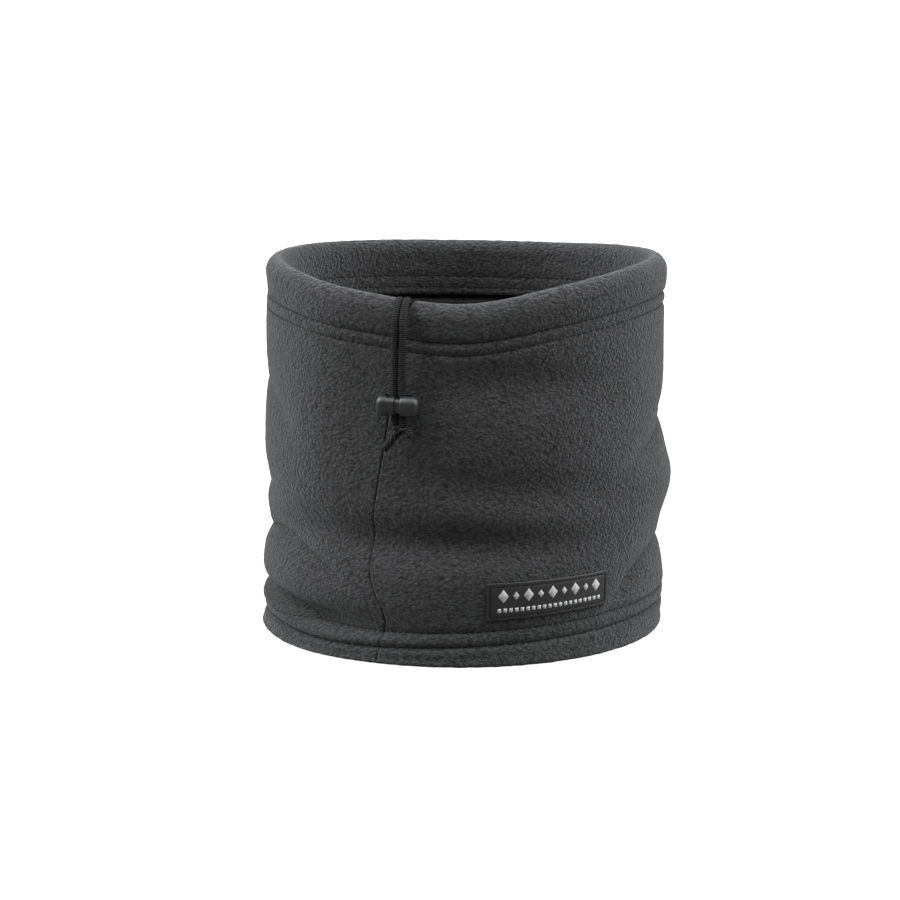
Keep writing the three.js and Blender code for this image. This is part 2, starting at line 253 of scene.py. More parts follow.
fleece = {
    "napScale": 1000, "tuftScale": 640, "patchScale": 60, "napDepth": 0.0015, "toneRange": (0.38, 0.88),
    "stretch": (1, 1, 1.25), "turn": (0.35, 0.2, 0.5), "roughness": 0.95, "specular": 0.08,
    "sheen": 0.06, "sheenRoughness": 0.35, "sheenTint": (0.8, 0.82, 0.85, 1),
}
shades = {  # the dark and the light end of each finish; for the fleeces and the cord the dark end is painted shade in the nap's pits and the braid's grooves
    # shell: its dark end is painted shade in the nap's pits
    "shell": ((0.0015, 0.0015, 0.0016), (0.0135, 0.0138, 0.0143)),
    # lining: the shell's fleece painted darker, as painted shade inside the tube; its dark end is painted
    # shade in the nap's pits
    "lining": ((0.0013, 0.0013, 0.0014), (0.0098, 0.01, 0.0104)),
    # cord: its dark end is painted shade in the braid's grooves
    "cord": ((0.0001, 0.0001, 0.0001), (0.013, 0.0133, 0.014)),
    "thread": ((0.0003, 0.0003, 0.0004), (0.0015, 0.0016, 0.0018)),
    "satin": ((0.0008, 0.0008, 0.001), (0.003, 0.0031, 0.0034)),
    "motif": ((0.03, 0.03, 0.031), (0.085, 0.085, 0.088)),
    "plastic": ((0.0015, 0.0016, 0.0018), (0.003, 0.0031, 0.0034)),
    "steel": ((0.42, 0.43, 0.45), (0.62, 0.63, 0.65)),
    "wadding": ((0.55, 0.55, 0.53), (0.82, 0.82, 0.80)),
}


def fleeceMaterial(name, shade):
    m = Maker(name)
    here = m.place(stretch=fleece["stretch"], turn=fleece["turn"])
    nap = m.speckle(here, fleece["napScale"], 3, 0.6)
    tufts = m.cells(here, fleece["tuftScale"])
    patches = m.speckle(here, fleece["patchScale"])
    height = nap * 0.65 + (1 - tufts) * 0.5
    low, high = fleece["toneRange"]
    # the colour follows the nap's height, darker in its low spots: painted shade in the pits, with a little
    # random tone from the patches
    tone = m.node("ShaderNodeMapRange", {}, {
        "Value": height * 0.9 + patches * 0.1, "From Min": low, "From Max": high})
    return m.set(baseColor=m.blend(tone, *shades[shade]), roughness=fleece["roughness"],
                 sheenWeight=fleece["sheen"], sheenRoughness=fleece["sheenRoughness"],
                 sheenTint=fleece["sheenTint"], specularIorLevel=fleece["specular"],
                 normal=m.bump(height, fleece["napDepth"], 1.0))


def cordMaterial():
    m = Maker("elastic cord")
    ribs = m.waves("Y", m.threadMap((1, 1)), 0.36, 1.2, 2.0)
    yarn = m.speckle(m.threadMap((1.2, 6)), 2.2, 3)
    # the colour darkens into the grooves between the ribs: painted shade in the crevices, mixed with the
    # yarn's speckle
    tone = ribs * 0.75 + yarn * 0.25
    return m.set(baseColor=m.blend(tone ** 3, *shades["cord"]), roughness=0.6, specularIorLevel=0.04,
                 normal=m.bump(tone, 0.0004, 0.9))


def threadMaterial():
    m = Maker("sewing thread")
    twist = m.waves("DIAGONAL", m.threadMap((1.6, 1)), 1.0, 0.6)
    return m.set(baseColor=m.blend(twist, *shades["thread"]), roughness=0.7, specularIorLevel=0.05,
                 normal=m.bump(twist, 0.00006, 0.5))


def satinMaterial():
    m = Maker("woven satin")
    weft = m.waves("Y", m.threadMap((1, 1)), 1.1, 0.4, 3.0)
    slub = m.speckle(m.threadMap((0.8, 9)), 1.0, 3)
    tone = weft * 0.35 + slub * 0.65
    return m.set(baseColor=m.blend(tone, *shades["satin"]), roughness=0.5, specularIorLevel=0.12,
                 sheenWeight=0.02, sheenRoughness=0.3, normal=m.bump(tone, 0.0001, 0.5))


def motifMaterial():
    m = Maker("pale weft yarn")
    yarn = m.waves("X", m.threadMap((1, 1)), 1.5, 0.8)
    return m.set(baseColor=m.blend(yarn, *shades["motif"]), roughness=0.55, sheenWeight=0.2,
                 normal=m.bump(yarn, 0.0001, 0.6))


def plasticMaterial():
    m = Maker("lock plastic")
    grain = m.speckle(m.place(), 420, 3)
    scuffs = m.speckle(m.place(stretch=(1, 1, 6)), 160, 4, 0.7)
    return m.set(baseColor=m.blend(scuffs, *shades["plastic"]), specularIorLevel=0.1,
                 roughness=0.36 + scuffs * 0.12, coatWeight=0.03, coatRoughness=0.25,
                 normal=m.bump(grain, 0.00004, 0.25))


def springMaterial():
    m = Maker("spring steel")
    drawn = m.speckle(m.threadMap((0.5, 8)), 2.0, 3)
    return m.set(baseColor=m.blend(drawn, *shades["steel"]), metallic=1.0, roughness=0.22 + drawn * 0.15)


def waddingMaterial():
    m = Maker("polyester wadding")
    fibre = m.speckle(m.place(stretch=(1, 1, 0.4)), 600, 4, 0.7)
    return m.set(baseColor=m.blend(fibre, *shades["wadding"]), roughness=0.9, sheenWeight=0.4,
                 normal=m.bump(fibre, 0.0006, 0.7))


shellFleece = fleeceMaterial("shell fleece", "shell")
# the lining is the shell's fleece painted darker: painted shade inside the tube
shadedLiningFleece = fleeceMaterial("lining fleece with painted shade", "lining")
elastic = cordMaterial()
thread = threadMaterial()
satin = satinMaterial()
paleYarn = motifMaterial()
plastic = plasticMaterial()
springSteel = springMaterial()
batting = waddingMaterial()
print("materials ready")

# how the tube stands, as in the CAD
tube = {
    "outer": 84.2, "rim": 155.4, "leanAtHem": -1.1, "leanAtRim": 0.9,
    "wave": (-5.6, 0.4, 4.1, 3.5, 0.9, -2.0, -2.5, -0.9, 1.4, 2.7, 1.6, -2.5),  # crest, every 30 degrees
    "fleece": 2.2, "wadding": 1.5, "plyGap": 0.3, "topTurn": 24, "hemTurn": 20, "roll": 6, "corner": 3,
    "topRows": (15.5, 20.5), "hemRows": (8.5, 14.5), "exit": -17.8, "dip": 1.2, "dipWidth": 2.6,
    "liningTop": 10.5, "liningBottom": 3.6,
}
shellInner = tube["outer"] - tube["fleece"]
waddingOuter = shellInner - tube["plyGap"]
waddingInner = waddingOuter - tube["wadding"]
liningOuter = waddingInner - tube["plyGap"]
liningInner = liningOuter - tube["fleece"]
turnOuter = liningInner - tube["plyGap"]
turnInner = turnOuter - tube["fleece"]
rimCentre = (tube["outer"] + turnInner) / 2
rollHalf = (tube["outer"] - turnInner) / 2
liningTopDepth = tube["outer"] - liningOuter
rowHeights = [*tube["hemRows"], *(tube["rim"] - below for below in tube["topRows"])]

# Each fold is a line of (azimuth, height, depth), how far it reaches above and below, and how far the cloth
# above hangs over it: lip outwards, tuck downwards. A negative tuck laps the lower cloth over the upper.
folds = {
    "leftFold": {"line": ((-150, 50, 0), (-118, 47, 2.6), (-98, 45.5, 6.6), (-86, 46, 8.2), (-76, 48, 7.6),
                          (-65, 47.2, 6.2), (-55, 44.2, 4.8), (-45, 38.8, 3.2), (-38, 35, 1.5), (-30, 31, 0)),
                 "above": 5.5, "below": 5.5, "lip": 2.6, "tuck": 6.0},
    "frontValley": {"line": ((-84, 50, 0), (-70, 51, 2.0), (-52, 52, 3.4), (-36, 52, 4.2), (-19, 51.5, 5.2),
                             (0, 51, 5.0), (18, 50, 4.0), (36, 49, 1.7), (56, 48, 0)),
                    "above": 7.5, "below": 8.5, "lip": 0, "tuck": 0},
    "middleValley": {"line": ((-26, 77, 0), (-8, 76, 1.1), (8, 74, 2.1), (24, 72, 2.5), (42, 69.5, 1.8),
                              (60, 67, 0)),
                     "above": 7, "below": 8, "lip": 0, "tuck": 0},
    "underRowsValley": {"line": ((-14, 115, 0), (0, 118, 2.2), (14, 118, 2.8), (32, 116, 1.9),
                                 (54, 112, 0)),
                        "above": 8, "below": 12, "lip": 0, "tuck": 0},
    "leftUpper": {"line": ((-128, 117, 0), (-104, 113, 0.8), (-84, 108, 1.6), (-68, 101, 1.6),
                           (-54, 94, 0)),
                  "above": 7, "below": 8, "lip": 0.5, "tuck": 1.2},
    "leftDip": {"line": ((-150, 66, 0), (-120, 65, 1.5), (-88, 63.5, 2.4), (-70, 64, 1.2), (-54, 66, 0)),
                "above": 8, "below": 7, "lip": 0.2, "tuck": 0.6},
    "rightNotch": {"line": ((46, 78, 0), (56, 80, 1.0), (66, 82.5, 2.4), (76, 87, 3.6), (88, 92, 4.4),
                            (102, 95, 3.0), (122, 98, 1.2), (146, 100, 0)),
                   "above": 8, "below": 6, "lip": 1.6, "tuck": 3.6},
    "rightLow": {"line": ((44, 20, 0), (52, 27, 1.5), (59, 33, 3.0), (68, 38, 4.2), (80, 41, 4.6),
                          (92, 42.5, 4.2), (112, 45, 2.4), (140, 47, 1.6), (175, 48, 1.9), (210, 50, 0)),
                 "above": 6, "below": 6, "lip": 1.8, "tuck": 3.8},
    "hemCrease": {"line": ((-178, 17, 0), (-140, 17.5, 0.8), (-110, 18, 1.0), (-94, 18, 1.6), (-84, 17, 4.0),
                           (-72, 15.4, 6.8), (-60, 14, 7.6), (-50, 13, 6.6), (-40, 12.6, 4.4),
                           (-30, 12.6, 2.4), (-12, 13.5, 0.8), (24, 16, 0)),
                  "above": 7, "below": 1.6, "lip": 2.2, "tuck": -2.2},
    "backUpper": {"line": ((118, 84, 0), (150, 82, 1.8), (182, 78, 2.4), (216, 80, 1.4), (240, 84, 0)),
                  "above": 10, "below": 9, "lip": 0.3, "tuck": 0.8},
    "backLow": {"line": ((176, 36, 0), (200, 35, 1.8), (226, 33, 2.2), (250, 31, 0.9), (262, 30, 0)),
                "above": 8, "below": 8, "lip": 0.3, "tuck": 0.6},
}
# Slow bulges of the whole wall: azimuth, its reach, height, its reach, how far out.
bulges = (
    (-60, 26, 26, 8, 3.6), (-50, 18, 1, 4, 1.2), (86, 30, 19, 12, 2.2), (84, 26, 65, 13, 4.4),
    (-45, 13, 108, 46, 2.1), (-24, 12, 108, 38, -1.9), (-90, 30, 147, 6, -1.0), (40, 30, 20, 16, -0.5),
    (-8, 40, 32, 12, 0.4), (-60, 34, 78, 16, 0.8), (160, 50, 60, 18, 1.2), (-150, 40, 96, 20, 0.9),
    (20, 36, 96, 14, 0.9), (70, 20, 108, 18, 0.6),
)
seam = {  # its height and azimuth from hem to rim, and the groove that it draws in
    "route": ((0, -24.2), (5.5, -24), (14, -22.9), (18, -22.2), (23, -22.6), (30, -24.9), (37, -26.7),
              (46, -27.2), (56, -26.8), (69, -25.4), (82, -24.2), (100, -22.4), (134, -19.4), (149, -18)),
    "base": -24, "reach": 20, "depth": 0.8, "width": 0.28, "grooveTop": 149,
}
puff = {
    "looseOverHem": (1, 9), "looseUnderRim": (30, 8),  # between these the folds are at their full depth
    "rimRoll": (0.9, 8, 6), "hemRoll": (0.7, 5, 4.5),  # how far out, how far from the edge, its reach
    "lining": 1.7, "liningOverHem": (2, 10), "liningUnderRim": (27, 24.5),
    "hemTilt": 3.2, "tiltOverHem": (0, 6), "tiltEnds": (14, 40),
    "hemLift": (3, -68, 26, 13, 6.5),  # how far up, azimuth, its reach, height, its reach
    "hemSquare": 2.2, "squareUpTo": 3.6, "squareEdge": (5, 3),
    "rowDepth": (1.5, 1.0, 1.2, 0.9), "rowWidth": 1.1, "insideRows": 0.3,
    "rowFades": ((-78, 32, 0.8), (48, 20, 0.55)), "fadeAbove": (100, 120),  # azimuth, its reach, share lost
}


def waveAt(azimuth):
    wave = np.asarray(tube["wave"])
    turn = (np.asarray(azimuth) / 360 % 1) * len(wave)
    k = np.floor(turn).astype(int)
    t = turn - k
    a, b, c, d = (wave[(k + step) % len(wave)] for step in (-1, 0, 1, 2))
    return b + 0.5 * t * (c - a + t * (2 * a - 5 * b + 4 * c - d + t * (3 * (b - c) + d - a)))


def riseAt(azimuth, height):
    wave = waveAt(azimuth) * smooth(tube["hemTurn"] + 10, tube["rim"] - tube["topTurn"] - 4, height)
    away = (around(azimuth, tube["exit"]) - tube["exit"]) / tube["dipWidth"]
    dip = tube["dip"] * np.exp(-(away ** 4))
    tilt = puff["hemTilt"] * np.sin(np.radians(azimuth)) * smooth(*puff["tiltOverHem"], height)
    tilt = tilt * (1 - smooth(*puff["tiltEnds"], height))
    return wave - dip * smooth(tube["rim"] - 13, tube["rim"] - 3, height) + tilt


def foldAt(fold, azimuth, height):  # depth, outward lip and lift of one fold
    places, heights, depths = zip(*fold["line"])
    turned = around(azimuth, (places[0] + places[-1]) / 2)
    line = throughPoints(places, heights, turned)
    inside = (turned > places[0]) & (turned < places[-1])
    depth = np.where(inside, np.maximum(throughPoints(places, depths, turned), 0), 0)
    away = height - line
    reach = np.where(away > 0, fold["above"], fold["below"])
    share = depth / max(depths)
    curl = away / 3
    turnOver = curl * np.exp(0.5 - 0.5 * curl * curl) * share
    side = -1 if fold["tuck"] < 0 else 1
    return depth * np.exp(-((away / reach) ** 2)), side * fold["lip"] * turnOver, -fold["tuck"] * turnOver


def seamAt(height):
    heights, azimuths = zip(*seam["route"])
    return throughPoints(heights, azimuths, height)


def followSeam(azimuth, height):  # grid lines near the seam run along it
    near = bell(around(azimuth, seam["base"]), seam["base"], seam["reach"])
    return azimuth + (seamAt(height) - seam["base"]) * near


def underRim(reach, height):  # grows from 0 to 1 between two distances under the rim
    far, near = reach
    return smooth(tube["rim"] - far, tube["rim"] - near, height)


def drape(azimuth, radius, height, seamed=1.0):  # where a point of the straight tube's wall really stands
    azimuth, radius, height = np.broadcast_arrays(np.asarray(azimuth, float), radius, height)
    depth = tube["outer"] - radius
    outside = np.clip(1 - depth / tube["fleece"], 0, 1)
    inside = np.clip((depth - (tube["outer"] - turnOuter)) / tube["fleece"], 0, 1)
    standing = height + riseAt(azimuth, height)
    loose = smooth(*puff["looseOverHem"], height) * (1 - underRim(puff["looseUnderRim"], height))
    radial = np.zeros_like(height)
    lift = np.zeros_like(height)
    for fold in folds.values():
        inward, outward, up = foldAt(fold, azimuth, standing)
        radial = radial - inward * loose + outward * outside * loose
        lift = lift + up * outside * loose
    for middle, reach, level, tall, out in bulges:
        radial = radial + out * bell(around(azimuth, middle), middle, reach) * bell(standing, level, tall)
    out, away, reach = puff["rimRoll"]
    radial = radial + outside * out * bell(height, tube["rim"] - away, reach)
    out, away, reach = puff["hemRoll"]
    radial = radial + outside * out * bell(height, away, reach)
    low, high = puff["liningOverHem"]
    lining = smooth(liningTopDepth, liningTopDepth + tube["fleece"], depth)
    lining = lining * smooth(tube["hemTurn"] + low, tube["hemTurn"] + high, height)
    radial = radial - lining * puff["lining"] * (1 - underRim(puff["liningUnderRim"], height))
    out, middle, reach, level, tall = puff["hemLift"]
    lift = lift + outside * out * bell(around(azimuth, middle), middle, reach) * bell(height, level, tall)
    inner, outer = puff["squareEdge"]
    corner = smooth(tube["outer"] - inner, tube["outer"] - outer, radius)
    radial = radial + corner * (1 - smooth(0, puff["squareUpTo"], height)) * puff["hemSquare"]
    shown = 1
    high = smooth(*puff["fadeAbove"], height)
    for middle, reach, share in puff["rowFades"]:
        shown = shown - share * bell(around(azimuth, middle), middle, reach) * high
    pulled = inside * puff["insideRows"] - outside * shown
    for row, sunk in zip(rowHeights, puff["rowDepth"]):
        radial = radial + pulled * sunk * bell(height, row, puff["rowWidth"])
    away = np.radians(around(azimuth, tube["exit"]) - seamAt(height)) * tube["outer"]
    groove = seam["depth"] * bell(away, 0, seam["width"]) * (height < seam["grooveTop"])
    radial = radial - seamed * outside * groove
    turn = np.radians(azimuth)
    lean = tube["leanAtHem"] + (tube["leanAtRim"] - tube["leanAtHem"]) * height / tube["rim"]
    out = radius + radial
    return np.stack([out * np.sin(turn) + lean, -out * np.cos(turn), standing + lift], -1)


def outFrom(azimuth, height, lift=0.0, radius=None):  # a point off the cloth's face, and the way out there
    radius = tube["outer"] if radius is None else radius
    here = drape(azimuth, radius, height)
    step = 0.25
    along = drape(np.asarray(azimuth) + step, radius, height) - here
    up = drape(azimuth, radius, np.asarray(height) + step) - here
    out = unit(np.cross(along, up))
    return here + out * np.asarray(lift)[..., None], out


cloth = {
    "stations": 448, "hiddenStations": 224, "seamCrowd": 2.6, "wallRows": 112, "legRows": 15, "hemRows": 12,
    "liningRows": 110, "lumps": 0.16, "lumpSize": 3.4, "fuzz": 0.07, "fuzzSize": 1.1, "buried": 2.9,
}


def arcPoints(centreR, centreZ, halfR, halfZ, start, end, steps):
    turn = np.radians(np.linspace(start, end, steps + 1))
    return np.stack([centreR + halfR * np.cos(turn), centreZ + halfZ * np.sin(turn)], -1)


def upright(radius, heights):
    return np.stack([np.full(len(heights), float(radius)), heights], -1)


def besideRows(height):
    return 1 + 0.3 * (height < 62) + sum(2.2 * bell(height, row, 1.9) for row in rowHeights)


def stationsAround(count):
    base = spread(0, 360, count + 1, lambda u: 1 + cloth["seamCrowd"] * bell(u, 180, 2.2))[:-1]
    return base - 180 + seam["base"]


hiddenHeights = np.linspace(tube["corner"] + 3, tube["rim"] - 16, 34)


def shellProfile():
    corner, inner = tube["corner"], tube["corner"] - tube["fleece"]
    rollTop = tube["rim"] - tube["roll"]
    cornerOut, cornerIn = tube["outer"] - corner, turnInner + corner
    outerWall = spread(corner, rollTop, cloth["wallRows"], besideRows)
    turnedLeg = spread(tube["rim"] - tube["topTurn"], rollTop, cloth["legRows"], besideRows)[::-1]
    hemLeg = spread(corner, tube["hemTurn"], cloth["hemRows"], besideRows)[::-1]
    parts = [
        arcPoints(cornerOut, corner, corner, corner, -90, 0, 6)[:-1],
        upright(tube["outer"], outerWall),
        arcPoints(rimCentre, rollTop, rollHalf, tube["roll"], 0, 180, 18)[1:-1],
        upright(turnInner, turnedLeg),
        upright(turnOuter, np.array([tube["rim"] - tube["topTurn"], rollTop - 8])),
        arcPoints(rimCentre, rollTop, rollHalf - tube["fleece"], tube["roll"] - tube["fleece"], 180, 0, 8),
        upright(shellInner, hiddenHeights[::-1]),
        arcPoints(cornerOut, corner, inner, inner, 0, -90, 2),
        arcPoints(cornerIn, corner, inner, inner, -90, -180, 2),
        upright(turnOuter, np.array([tube["hemTurn"]])),
        upright(turnInner, hemLeg),
        arcPoints(cornerIn, corner, corner, corner, 180, 270, 5)[1:],
    ]
    return np.concatenate(parts)


def ringOf(name, profile, stations, material, seamed=1.0):
    base = stationsAround(stations)
    radius, height = profile[:, 0][:, None], profile[:, 1][:, None]
    points = drape(followSeam(base[None, :], height), radius, height, seamed)
    return makeObject(name, points, gridFaces(len(profile), stations, True, True), material)


def ruffle(obj, seen):  # uneven nap pushed into the seen faces
    mesh = obj.data
    count = len(mesh.vertices)
    place = np.zeros(count * 3, np.float32)
    out = np.zeros(count * 3, np.float32)
    mesh.vertices.foreach_get("co", place)
    mesh.vertices.foreach_get("normal", out)
    place, out = place.reshape(-1, 3), out.reshape(-1, 3)
    push = np.zeros(count)
    for i in np.flatnonzero(seen(place / mm)):
        p = Vector(place[i]) / mm
        push[i] = (cloth["lumps"] * noise.noise(p / cloth["lumpSize"])
                   + cloth["fuzz"] * noise.noise(p / cloth["fuzzSize"] + Vector((7, 3, 5))))
    place = place + out * (push * mm)[:, None]
    place[:, 2] = np.maximum(place[:, 2], 0)
    mesh.vertices.foreach_set("co", place.astype(np.float32).ravel())
    mesh.update()


def applyModifiers(obj):
    evaluated = obj.evaluated_get(bpy.context.evaluated_depsgraph_get())
    mesh = bpy.data.meshes.new_from_object(evaluated)
    obj.modifiers.clear()
    old = obj.data
    obj.data = mesh
    mesh.name = old.name
    return obj


def boolean(obj, other, operation):
    step = obj.modifiers.new("join", "BOOLEAN")
    step.operation = operation
    step.solver = "EXACT"
    step.object = other
    applyModifiers(obj)
    bpy.data.objects.remove(other)
    return obj


# at the cord's exit x runs round the tube, y inwards and z up
cords = {
    "diameter": 2.8, "thick": 2.95, "pitch": 3.1, "top": -8.8, "bottom": -46.9, "shift": 0.6, "lean": 0.5,
    "depth": -9.9, "lockHeight": -39.8, "casingStart": 6.9, "belowCrest": 5.2, "bow": {-1: -0.35, 1: 0.1},
    "braidPitch": 0.9, "braidColumns": 12, "braidDepth": 0.34, "braidSlant": 0.34,
}
liftJoint = next(joint for joint in frame["joints"] if joint["name"] == "cord_lift")
exitTurn = np.radians(tube["exit"])
exitAlong = np.array([np.cos(exitTurn), np.sin(exitTurn), 0])
exitInward = np.array([-np.sin(exitTurn), np.cos(exitTurn), 0])
upward = np.array([0, 0, 1.0])
hinge = np.array(liftJoint["pos_m"]) / mm
hingeDepth = cords["depth"] - cords["diameter"] / 2
exitPoint = hinge - exitAlong * cords["shift"] - exitInward * hingeDepth - upward * cords["top"]


def fromExit(points):
    points = np.asarray(points, float)
    return exitPoint + points[..., :1] * exitAlong + points[..., 1:2] * exitInward + points[..., 2:] * upward


def strandX(z):
    return cords["shift"] + (z - cords["top"]) * math.tan(math.radians(cords["lean"]))


def stadiumPoints(halfLong, halfDeep, count):  # round-ended outline: x, y and the way out at each point
    straight = halfLong - halfDeep
    quarter = math.pi * halfDeep / 2
    girth = 4 * (straight + quarter)
    made = []
    for i in range(count):
        s = i / count * girth
        side, s = divmod(s, 2 * straight + 2 * quarter)
        flip = -1 if side else 1
        if s < 2 * straight:
            x, y, nx, ny = -straight + s, -halfDeep, 0.0, -1.0
        else:
            turn = (s - 2 * straight) / halfDeep - math.pi / 2
            nx, ny = math.cos(turn), math.sin(turn)
            x, y = straight + halfDeep * nx, halfDeep * ny
        made.append((flip * x, flip * y, flip * nx, flip * ny))
    return np.array(made)


slit = {"halfLong": 3.4, "halfDeep": 1.9, "wall": 0.7}


def makeShell():
    shell = ringOf("fleeceShell", shellProfile(), cloth["stations"], shellFleece)
    finishMesh(shell)
    middle = (shellInner + turnOuter) / 2
    ruffle(shell, lambda p: (np.abs(np.hypot(p[:, 0], p[:, 1]) - middle) > cloth["buried"])
           | (p[:, 2] > tube["rim"] - 4) | (p[:, 2] < 1.2))
    outline = stadiumPoints(slit["halfLong"] + slit["wall"], slit["halfDeep"] + slit["wall"], 40)[:, :2]
    rows = [np.column_stack([outline, np.full(len(outline), z)]) for z in (-6, 6)]
    faces = gridFaces(2, len(outline), False, True)
    faces += [list(range(len(outline)))[::-1], list(range(len(outline), 2 * len(outline)))]
    cutter = finishMesh(makeObject("slitCutter", fromExit(np.concatenate(rows)), faces, shellFleece))
    boolean(shell, cutter, "DIFFERENCE")
    belongs(shell, "root", "shell_fleece", "outer_shell")


def makePly(name, node, slotName, inner, outer, material, visible):
    top, bottom = tube["rim"] - tube["liningTop"], tube["liningBottom"]
    heights = np.concatenate([[bottom], hiddenHeights, [top]])
    innerHeights = spread(bottom, top, cloth["liningRows"], besideRows) if visible else heights
    profile = np.concatenate([upright(outer, heights), upright(inner, innerHeights[::-1])])
    stations = cloth["stations" if visible else "hiddenStations"]
    ply = finishMesh(ringOf(name, profile, stations, material, 0.0))
    if visible:
        ruffle(ply, lambda p: np.hypot(p[:, 0], p[:, 1]) < (inner + outer) / 2 - 1)
    belongs(ply, "root", slotName, node)
    flat = (2 * math.pi * (inner + outer) / 2 * mm, (top - bottom) * mm)


makeShell()
makePly("fleeceLining", "inner_lining", "lining_fleece", liningInner, liningOuter, shadedLiningFleece, True)
makePly("insulation", "insulation_layer", "wadding", waddingInner, waddingOuter, batting, False)
print("cloth ready")


def alongCurve(points, count, closed=False):  # evenly spaced points on a smooth curve through the points
    points = np.asarray(points, float)
    if closed:
        points = np.concatenate([points, points[:1]])
    along = np.concatenate([[0], np.cumsum(np.linalg.norm(np.diff(points, axis=0), axis=1))])
    fine = np.linspace(0, along[-1], max(600, 8 * len(points)))
    curve = np.stack([throughPoints(along, points[:, k], fine) for k in range(3)], -1)
    walked = np.concatenate([[0], np.cumsum(np.linalg.norm(np.diff(curve, axis=0), axis=1))])
    at = np.linspace(0, walked[-1], count + 1 if closed else count)
    made = np.stack([np.interp(at, walked, curve[:, k]) for k in range(3)], -1)
    return (made[:-1] if closed else made), walked[-1]


def framesAlong(line, closed=False, hint=None):
    if closed:
        tangent = unit(np.roll(line, -1, 0) - np.roll(line, 1, 0))
    else:
        tangent = unit(np.gradient(line, axis=0))
    side = np.zeros_like(line)
    start = np.array([0.0, 0.0, 1.0]) if hint is None else np.asarray(hint, float)
    if abs(tangent[0] @ start) > 0.95:
        start = np.array([1.0, 0.0, 0.0])
    side[0] = unit(start - tangent[0] * (tangent[0] @ start))
    for i in range(1, len(line)):
        side[i] = unit(side[i - 1] - tangent[i] * (tangent[i] @ side[i - 1]))
    return tangent, side, np.cross(tangent, side)


def sweep(name, line, radius, sides, material, closed=False, height=None, hint=None, roundEnds=True):
    # radius may change along the line; height(round, along) is added to it
    tangent, side, other = framesAlong(line, closed, hint)
    radius = np.broadcast_to(np.asarray(radius, float), (len(line),))
    turn = np.arange(sides) / sides * 2 * math.pi
    steps = np.linalg.norm(np.diff(line, axis=0), axis=1)
    along = np.concatenate([[0], np.cumsum(steps)])
    reach = radius[:, None] + (height(turn[None, :], along[:, None]) if height else 0)
    cosine, sine = np.cos(turn)[None, :, None], np.sin(turn)[None, :, None]
    ringDirection = side[:, None] * cosine + other[:, None] * sine
    points = line[:, None] + ringDirection * reach[..., None]
    uv = np.stack(np.broadcast_arrays((turn / (2 * math.pi))[None, :] * sides / 3, along[:, None]), -1)
    faces = gridFaces(len(line), sides, closed, True)
    points, uv = points.reshape(-1, 3), uv.reshape(-1, 2)
    if not closed:
        for end, first in ((0, 0), (len(line) - 1, (len(line) - 1) * sides)):
            outward = -tangent[0] if end == 0 else tangent[-1]
            rim = np.arange(first, first + sides)
            for share in ((0.8, 0.55), (0.45, 0.85)) if roundEnds else ():
                ringPoints = line[end] + (points[first:first + sides] - line[end]) * share[0]
                ringPoints = ringPoints + outward * radius[end] * share[1]
                newRim = np.arange(len(points), len(points) + sides)
                points = np.concatenate([points, ringPoints])
                uv = np.concatenate([uv, uv[first:first + sides]])
                for k in range(sides):
                    n = (k + 1) % sides
                    faces.append([int(rim[k]), int(rim[n]), int(newRim[n]), int(newRim[k])])
                rim = newRim
            tip = line[end] + outward * radius[end] * (0.95 if roundEnds else 0)
            points = np.concatenate([points, tip[None]])
            uv = np.concatenate([uv, uv[first:first + 1]])
            for k in range(sides):
                faces.append([int(rim[k]), int(rim[(k + 1) % sides]), len(points) - 1])
    return finishMesh(makeObject(name, points, faces, material, uv))


def braid(turn, along):  # plump slanted cells, every other column leaning the other way
    columns = cords["braidColumns"]
    column = turn / (2 * math.pi) * columns
    k = np.floor(column)
    across = (column - k) * 2 - 1
    lean = np.where(k % 2 == 0, 1, -1)
    phase = along / cords["braidPitch"] + cords["braidSlant"] * lean * across + 0.5 * (k % 2)
    return cords["braidDepth"] * ((1 - across ** 4) * (0.35 + 0.65 * np.abs(np.cos(math.pi * phase))) - 0.75)


def stitches(name, line, out, stitch, closed=True):
    # one thread over the cloth and down through it at every hole
    steps = np.linalg.norm(np.diff(np.concatenate([line, line[:1]]) if closed else line, axis=0), axis=1)
    along = np.concatenate([[0], np.cumsum(steps)])
    total = along[-1]
    holes = max(2, round(total / stitch["pitch"]))
    phase = along[:len(line)] / total * holes
    sink = np.abs(np.sin(math.pi * phase)) ** 0.35
    return sweep(name, line + out * ((sink - 1) * stitch["dip"])[:, None], stitch["width"] / 2, 6, thread,
                 closed, roundEnds=False)


rowStitch = {"width": 0.5, "pitch": 3.0, "dip": 0.9, "proud": 0.08}
seamStitch = {"width": 0.5, "pitch": 2.2, "dip": 0.7, "proud": 0.05}
pointsPerStitch = 9


def sew(name, node, azimuth, height, radius, stitch, inward, closed):
    line, out = outFrom(azimuth, height, stitch["proud"], radius)
    if inward:
        line = line - 2 * stitch["proud"] * out
        out = -out
    belongs(stitches(name, line, out, stitch, closed), "root", "sewing_thread", node)


def sewRow(kind, level, face, height):
    radius = tube["outer"] if face == "outside" else turnInner
    count = int(round(2 * math.pi * radius / rowStitch["pitch"])) * pointsPerStitch
    azimuth = np.arange(count) / count * 360
    sew(f"{kind}Row{level.title()}{face.title()}", f"{kind}_row_{level}_{face}", azimuth,
        np.full(count, height), radius, rowStitch, face == "inside", True)


def sewSeam(name, node, low, high, azimuthAt, radius, inward):
    count = int((high - low) / seamStitch["pitch"]) * pointsPerStitch
    height = np.linspace(low, high, count)
    sew(name, node, azimuthAt(height), height, radius, seamStitch, inward, False)


